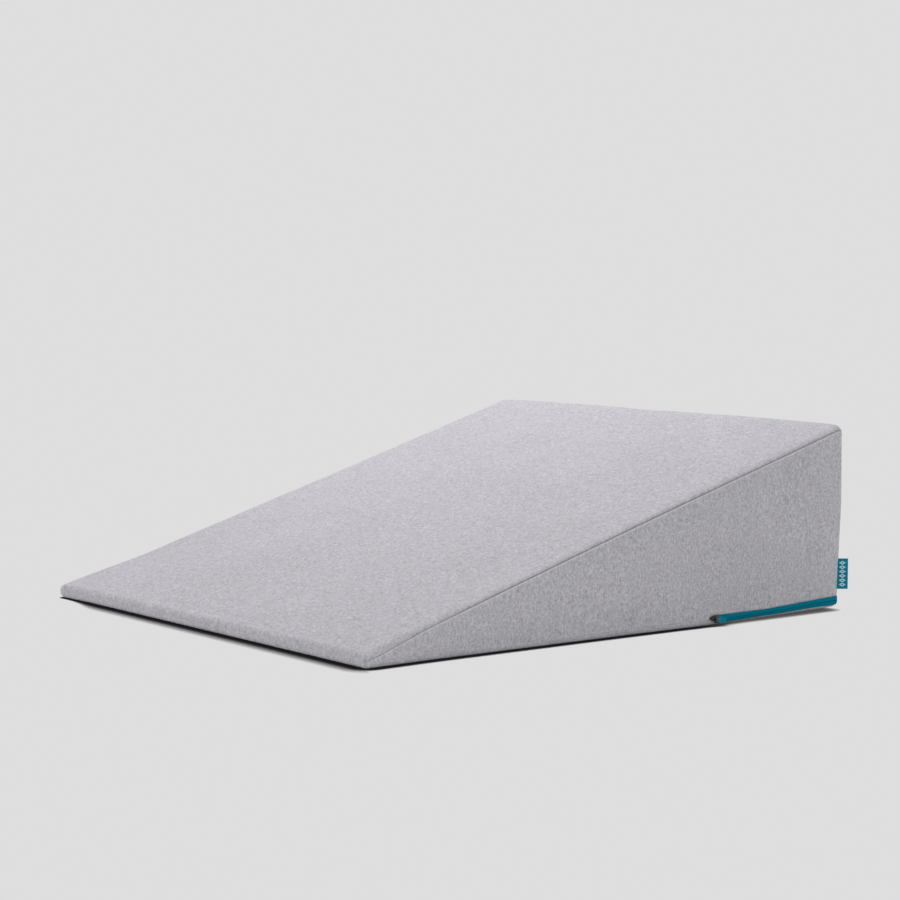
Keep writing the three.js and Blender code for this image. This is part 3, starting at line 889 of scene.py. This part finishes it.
def slider_outline():
    """Outline of the face as places (to the back, up), from the tail over the shoulder to the pointed
    nose, and back below."""
    half_u = (slider_high.y - slider_low.y) / 2
    half_v = (slider_high.z - slider_low.z) / 2
    tail = Vector((half_u, TAIL_HEIGHT * half_v))
    shoulder = Vector((-SHOULDER[0] * half_u, SHOULDER[1] * half_v))
    nose = Vector((-half_u - NOSE_REACH, NOSE_FLAT * half_v))
    upper = [tail]
    upper += curve_points(tail, Vector((TAIL_CURVE * half_u, SHOULDER[1] * half_v)), shoulder, 6)
    nose_pull = Vector((-NOSE_CURVE[0] * half_u, NOSE_CURVE[1] * half_v))
    upper += curve_points(shoulder, nose_pull, nose, 8)
    return upper + [Vector((point.x, -point.y)) for point in reversed(upper)]


def slider_body():
    shape = bmesh.new()
    extrude_side(shape, slider_outline(), PLATE_THICKNESS, bevel=0.0004)
    path = [(-BRIDGE_LEG, -BRIDGE_RADIUS)]
    for n in range(BRIDGE_STEPS + 1):
        turn = pi * n / BRIDGE_STEPS
        path.append((BRIDGE_RADIUS * sin(turn), -BRIDGE_RADIUS * cos(turn)))
    path.append((-BRIDGE_LEG, BRIDGE_RADIUS))
    rings = []
    for number, (out, u) in enumerate(path):
        before = path[max(number - 1, 0)]
        after = path[min(number + 1, len(path) - 1)]
        forward = Vector((after[0] - before[0], after[1] - before[1], 0)).normalized()
        across = Vector((-forward.y, forward.x, 0))
        ring = []
        for turn in full_turn(BRIDGE_STEPS):
            squarish = (abs(cos(turn)) ** 4 + abs(sin(turn)) ** 4) ** -0.25
            side = across * cos(turn) * squarish * BRIDGE_WIRE[0] / 2
            up = sin(turn) * squarish * BRIDGE_WIRE[1] / 2
            place = Vector((out, u, 0)) + side
            x = PLATE_THICKNESS - BRIDGE_SUNK + BRIDGE_LEG + place.x
            ring.append(shape.verts.new((x, BRIDGE_MIDDLE + place.y, up)))
        rings.append(ring)
    skin_rings(shape, rings)
    shape.faces.new(rings[0])
    shape.faces.new(rings[-1])
    bmesh.ops.translate(shape, verts=shape.verts, vec=slider_seat)
    return finish_shape("slider_body", shape)


def plated_metal():
    """Dark plating, with a painted highlight on the bridge that is lighter the further out it stands.
    """
    material, tree, shader = material_tree("dark_plated_metal", {"Metallic": 0.9})
    place, parts = object_place(tree)
    uneven = noise_value(tree, place, scale=900.0, detail=3.0, roughness=0.6)
    dark = blend(tree, uneven, *METAL)
    # Painted highlight: the colour lightens towards the outer face of the bridge
    bridge_highlight = ramp(tree, parts[0], slider_low.x + PLATE_THICKNESS + HIGHLIGHT_FROM, slider_high.x)
    colour = blend(tree, bridge_highlight, dark, METAL_HIGHLIGHT)
    feed_shader(tree, shader, colour, uneven, (0.2, 0.5), uneven, bump=(0.15, 0.0001))
    return material


slider = slider_body()
slider.data.materials.append(plated_metal())
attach(slider, "root")
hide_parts("zip_slider")


# Zip pull
# A moulded teal tab, a little narrower at its tail, hangs from the slider's bridge by a bright wire
# loop and droops back over the zip.
TAB_LENGTH = 0.0088
TAB_HEIGHTS = (0.0066, 0.0052)
TAB_THICKNESS = 0.0012
TAB_CORNER = 0.0008
TAB_DROP = 0.0012
TAB_TURN = Euler((radians(-15), 0, radians(-8)))
LOOP_SIZE = (0.0042, 0.0050)
LOOP_WIRE = 0.0006
LOOP_OVER_TAB = 0.0008
LOOP_STEPS = 32
LOOP_SIDES = 8
TAB_FROM_END = 0.0004

# How far in from the tab's outline, and how far above its face
RIM = (0.0009, 0.0001)
DENT = (0.0012, -0.0001)

WIRE_GREY = ((0.20, 0.25, 0.25, 1), (0.34, 0.40, 0.39, 1))
TAB_TEAL = ((0.001, 0.215, 0.305, 1), (0.002, 0.270, 0.370, 1))

pull_low, pull_high = (Vector(corner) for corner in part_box("zip_pull"))


def tab_outline(shrink=0.0):
    """Outline of the tab, drawn in evenly by the given length, with round corners."""
    points = []
    half = TAB_LENGTH / 2 - shrink
    for corner, (side_u, side_v) in enumerate(((1, -1), (1, 1), (-1, 1), (-1, -1))):
        height = (TAB_HEIGHTS[1] if side_u > 0 else TAB_HEIGHTS[0]) / 2 - shrink
        for n in range(5):
            turn = radians(90 * (corner - 1) + 90 * n / 4)
            u = side_u * (half - TAB_CORNER) + TAB_CORNER * cos(turn)
            v = side_v * (height - TAB_CORNER) + TAB_CORNER * sin(turn)
            points.append(Vector((u, v)))
    return points


def hang_on_slider(piece):
    """Turns the piece with the tab and puts it with its tail at the tail of the pull's box."""
    tail = Vector((0, TAB_LENGTH / 2, 0))
    place = (pull_low + pull_high) / 2
    place.y = pull_high.y - TAB_FROM_END
    place.z -= TAB_DROP
    move = Matrix.Translation(place) @ TAB_TURN.to_matrix().to_4x4() @ Matrix.Translation(-tail)
    piece.data.transform(move)


def pull_tab():
    """The tab, with a raised rim round a shallow dent."""
    shape = bmesh.new()
    extrude_side(shape, tab_outline(), TAB_THICKNESS, bevel=0.0003)
    rings = []
    for shrink, rise in (RIM, DENT):
        rings.append([shape.verts.new((TAB_THICKNESS + rise, u, v)) for u, v in tab_outline(shrink)])
    skin_rings(shape, rings)
    tab = finish_shape("pull_tab", shape)
    hang_on_slider(tab)
    return tab


def wire_loop():
    """An oval of round wire, lying on the front end of the tab."""
    shape = bmesh.new()
    middle = Vector((TAB_THICKNESS, -TAB_LENGTH / 2 + LOOP_OVER_TAB - LOOP_SIZE[0] / 2, 0))
    rings = []
    for turn in full_turn(LOOP_STEPS):
        outward = Vector((0, cos(turn), sin(turn)))
        centre = middle + Vector((0, outward.y * LOOP_SIZE[0] / 2, outward.z * LOOP_SIZE[1] / 2))
        ring = []
        for around in full_turn(LOOP_SIDES):
            offset = outward * cos(around) + Vector((1, 0, 0)) * sin(around)
            ring.append(shape.verts.new(centre + offset * LOOP_WIRE / 2))
        rings.append(ring)
    skin_rings(shape, rings, closed=True)
    loop = finish_shape("pull_loop", shape)
    hang_on_slider(loop)
    return loop


def bright_wire():
    """Nickel-plated wire."""
    material, tree, shader = material_tree("bright_wire", {"Metallic": 1.0})
    uneven = noise_value(tree, object_place(tree)[0], scale=700.0)
    feed_shader(tree, shader, blend(tree, uneven, *WIRE_GREY), uneven, (0.2, 0.4))
    return material


def moulded_plastic():
    """Moulded rubbery plastic, a lighter teal than the tapes, with a fine grain."""
    material, tree, shader = material_tree("moulded_tab", {"Specular IOR Level": 0.04})
    place, _ = object_place(tree)
    grain = noise_value(tree, place, scale=1500.0)
    colour = blend(tree, noise_value(tree, place, scale=150.0), *TAB_TEAL)
    feed_shader(tree, shader, colour, grain, (0.35, 0.65), grain, bump=(0.2, 0.00005))
    return material


pull = pull_tab()
pull.data.materials.append(moulded_plastic())
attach(pull, "root")
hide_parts("zip_pull")

pull_loop = wire_loop()
pull_loop.data.materials.append(bright_wire())
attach(pull_loop, "root")


# Label
# A small strip of woven teal ribbon, folded in two with its ends sewn into the seam of the right back
# corner. It carries a plain row of small white diamonds and no words.
LABEL_TURN = radians(38)
LABEL_LAYER = 0.00042
LABEL_BOW = 0.0004
LABEL_MARKS = 6
LABEL_HEM = 0.07
LABEL_CELLS = (24, 40)
LABEL_REACH = 0.0114
LABEL_ROOT_TO_TIP = 0.0128
LABEL_TIP_INSIDE = 0.0005
LABEL_FOLD = 0.62
LABEL_FOLD_STEPS = 6
LABEL_THREAD = 0.03
LABEL_CURL = 0.0005
LABEL_CURLS_FROM = 0.45
LABEL_SPREAD = 0.35
LABEL_SPREAD_BEHIND = 0.6
DIAMOND_SHAPE = (3.0, 2.1)
DIAMOND_RAMPS = ((0.30, 0.42), (1.0, 0.86))
LABEL_GROUND = ((0.0008, 0.180, 0.270, 1), (0.0020, 0.260, 0.375, 1))
LABEL_MARK = (0.60, 0.78, 0.82, 1)

label_low, label_high = (Vector(corner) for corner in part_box("label"))
label_height = label_high.z - label_low.z
label_along = Vector((sin(LABEL_TURN), cos(LABEL_TURN), 0))
label_across = Vector((cos(LABEL_TURN), -sin(LABEL_TURN), 0))
label_root = Vector((
    label_high.x - LABEL_TIP_INSIDE * cos(LABEL_TURN),
    label_high.y - LABEL_TIP_INSIDE * sin(LABEL_TURN),
    label_low.z,
)) - label_along * LABEL_ROOT_TO_TIP


def folded_label():
    """The ribbon from its hidden end, out to the fold, round it and back, as one thin closed strip."""
    fold = LABEL_LAYER * LABEL_FOLD
    flat_reach = LABEL_REACH - fold
    path = [(n / LABEL_CELLS[0] * flat_reach, fold) for n in range(LABEL_CELLS[0] + 1)]
    for n in range(1, LABEL_FOLD_STEPS):
        turn = pi * n / LABEL_FOLD_STEPS
        path.append((flat_reach + fold * sin(turn), fold * cos(turn)))
    path += [(reach, -fold) for reach, _ in reversed(path[:LABEL_CELLS[0] + 1])]
    points = []
    shares = []
    for reach, offset in path:
        share = reach / LABEL_REACH
        for n in range(LABEL_CELLS[1] + 1):
            up = n / LABEL_CELLS[1]
            curl = LABEL_BOW * sin(pi * share)
            curl += LABEL_CURL * (up - LABEL_CURLS_FROM) * share
            spread = 1 + LABEL_SPREAD * (1 - share) * (1 if offset > 0 else LABEL_SPREAD_BEHIND)
            place = label_root + label_along * reach + label_across * (offset * spread + curl)
            place.z += up * label_height
            points.append(place)
            shares.append((share, up))
    faces = grid_faces(len(path), LABEL_CELLS[1] + 1, round_across=False)
    piece = mesh_piece("folded_label", points, faces)
    layer = piece.data.uv_layers.new(name="ribbon")
    for loop in piece.data.loops:
        layer.data[loop.index].uv = shares[loop.vertex_index]
    thick = piece.modifiers.new("thick", "SOLIDIFY")
    thick.thickness = LABEL_LAYER * 0.5
    thick.offset = 0
    mesh = bpy.data.meshes.new_from_object(piece.evaluated_get(bpy.context.evaluated_depsgraph_get()))
    piece.modifiers.clear()
    piece.data = mesh
    return piece


def woven_label():
    """Damask-woven ribbon: teal ground, white diamonds, and selvedges above and below."""
    material, tree, shader = material_tree("woven_label", {"Specular IOR Level": 0.05})
    uv = add(tree, "ShaderNodeUVMap", uv_map="ribbon").outputs[0]
    parts = add(tree, "ShaderNodeSeparateXYZ", {0: uv}).outputs
    uneven = noise_value(tree, object_place(tree)[0], scale=1200.0, detail=1.0)
    ground = blend(tree, uneven, *LABEL_GROUND)
    marks_per_height = LABEL_MARKS / (1 - 2 * LABEL_HEM)
    run = calc(tree, "MULTIPLY_ADD", parts[1], marks_per_height, -LABEL_HEM * marks_per_height)
    over_low_hem = calc(tree, "GREATER_THAN", run, 0.0)
    under_top_hem = calc(tree, "LESS_THAN", run, float(LABEL_MARKS))
    inside = times(tree, over_low_hem, under_top_hem)
    out = calc(tree, "ABSOLUTE", calc(tree, "SUBTRACT", parts[0], 0.5))
    up = calc(tree, "ABSOLUTE", calc(tree, "SUBTRACT", calc(tree, "FRACT", run), 0.5))
    size = times(tree, out, DIAMOND_SHAPE[0])
    size = calc(tree, "MULTIPLY_ADD", up, DIAMOND_SHAPE[1], size)
    mark = times(tree, inside, band(tree, size, *DIAMOND_RAMPS))
    colour = blend(tree, times(tree, mark, 0.9), ground, LABEL_MARK)
    weave = woven_height(tree, parts[1], parts[0], LABEL_THREAD)
    height = calc(tree, "MULTIPLY_ADD", weave, 0.4, mark)
    feed_shader(tree, shader, colour, uneven, (0.55, 0.75), height, bump=(0.4, 0.00012))
    return material


label_piece = folded_label()
label_piece.data.materials.append(woven_label())
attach(label_piece, "root")
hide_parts("label")


# Floor
# A plain pale studio floor that runs into the background without an edge. Close to what stands
# on it, a painted shadow darkens it.
PALE = (0.7305, 0.7305, 0.7305, 1)
FLOOR_SIZE = 60.0

# The painted contact shadow. Each pair is for most of the pillow and for its lifted corner at the zip
CONTACT_REACH = (0.010, 0.009)
CONTACT_DARK_BELOW = (0.70, 0.05)
CONTACT_SHADE = ((0.010, 0.010, 0.011, 1), (0.075, 0.077, 0.075, 1))
MORE_REACH_IN_FRONT = 0.011
REACH_SHARE_AT_LEFT = 0.4
CONTACT_FALL = 2.2
FLOOR_GREY = (0.80, 0.80, 0.80, 1)
FLOOR_BELOW = 0.0002
FRONT_RAMP = (-LENGTH / 2, -LENGTH / 2 - 0.006)
LEFT_RAMP = (-WIDTH / 2, -WIDTH / 2 + 0.1)
ZIP_RAMP = (0.100, 0.165)


def pale_floor():
    """A grey floor for the light, shown as even as the background but for a painted contact shadow
    where something stands on it."""
    material, tree, shader = material_tree("pale_floor", {"Roughness": 1.0, "Specular IOR Level": 0.0})
    seen = add(tree, "ShaderNodeLightPath").outputs["Is Camera Ray"]
    _, parts = object_place(tree)
    from_left = ramp(tree, parts[0], *LEFT_RAMP)
    in_front = times(tree, ramp(tree, parts[1], *FRONT_RAMP), from_left)
    at_zip = ramp(tree, parts[1], *ZIP_RAMP)
    reach = between(tree, at_zip, *CONTACT_REACH)
    reach = calc(tree, "MULTIPLY_ADD", in_front, MORE_REACH_IN_FRONT, reach)
    reach = times(tree, reach, between(tree, from_left, REACH_SHARE_AT_LEFT, 1.0))
    # Painted shadow: ambient occlusion darkens the colour that the floor shows the camera
    air = add(tree, "ShaderNodeAmbientOcclusion", {"Distance": reach}, samples=16).outputs["AO"]
    dark_below = between(tree, at_zip, *CONTACT_DARK_BELOW)
    open_share = add(tree, "ShaderNodeMapRange", {0: air, 1: dark_below, 2: 1.0}).outputs[0]
    shade = blend(tree, at_zip, *CONTACT_SHADE)
    shown = blend(tree, calc(tree, "POWER", open_share, CONTACT_FALL), shade, PALE)
    black = (0, 0, 0, 1)
    tree.links.new(blend(tree, seen, black, shown), shader.inputs["Emission Color"])
    shader.inputs["Emission Strength"].default_value = 1.0
    tree.links.new(blend(tree, seen, FLOOR_GREY, black), shader.inputs["Base Color"])
    return material


half = FLOOR_SIZE / 2
floor_corners = [(-half, -half, 0), (half, -half, 0), (half, half, 0), (-half, half, 0)]
floor = mesh_piece("floor", floor_corners, [(0, 1, 2, 3)])
floor.location.z = -FLOOR_BELOW
floor.data.materials.append(pale_floor())


# Light
# White studio walls that dim towards the ceiling, and a soft lamp over the left side, so that the top
# is lighter than the sides and brightest at its far left.
LAMP_PLACE = Vector((-0.50, 0.28, 1.57))
LAMP_AIM = Vector((-0.05, 0.05, 0.1))
LAMP_SIZE = 0.6
LAMP_POWER = 12.7
LAMP_COLOUR = (1.03, 1.0, 1.02)
WALL_LIGHT = 1.05
CEILING_LIGHT = 0.42


def studio_world():
    world = bpy.data.worlds.new("studio")
    world.use_nodes = True
    tree = world.node_tree
    background = tree.nodes["Background"]
    direction = add(tree, "ShaderNodeTexCoord").outputs["Generated"]
    upward = add(tree, "ShaderNodeSeparateXYZ", {0: direction}).outputs[2]
    sky = add(tree, "ShaderNodeMapRange", {0: upward, 3: WALL_LIGHT, 4: CEILING_LIGHT}).outputs[0]
    seen = add(tree, "ShaderNodeLightPath").outputs["Is Camera Ray"]
    sky_colour = add(tree, "ShaderNodeCombineXYZ", {0: sky, 1: sky, 2: sky}).outputs[0]
    tree.links.new(blend(tree, seen, sky_colour, PALE), background.inputs["Color"])
    bpy.context.scene.world = world


studio_world()
lamp_data = bpy.data.lights.new("soft_lamp", "AREA")
lamp_data.shape = "DISK"
lamp_data.size = LAMP_SIZE
lamp_data.energy = LAMP_POWER
lamp_data.color = LAMP_COLOUR
lamp = new_object("soft_lamp", lamp_data)
lamp.location = LAMP_PLACE
lamp.rotation_euler = (LAMP_AIM - LAMP_PLACE).to_track_quat("-Z", "Y").to_euler()


# Camera
# A camera with a long lens to the right of the thin front edge, a little above the pillow. It dips a
# few degrees and doesn't lean.
PHOTO_WIDTH = 900
FOCAL_PIXELS = 2389.6
CAMERA_PLACE = (1.9910, -1.4865, 0.3604)
CAMERA_HEADING = 53.175
CAMERA_DIP = 4.571

camera_data = bpy.data.cameras.new("camera")
camera_data.sensor_width = 36
camera_data.lens = FOCAL_PIXELS * camera_data.sensor_width / PHOTO_WIDTH
camera_data.clip_end = 200
camera = new_object("camera", camera_data)
camera.location = CAMERA_PLACE
camera.rotation_euler = (radians(90 - CAMERA_DIP), 0, radians(CAMERA_HEADING))
bpy.context.scene.camera = camera
bpy.context.scene.view_settings.view_transform = "Standard"
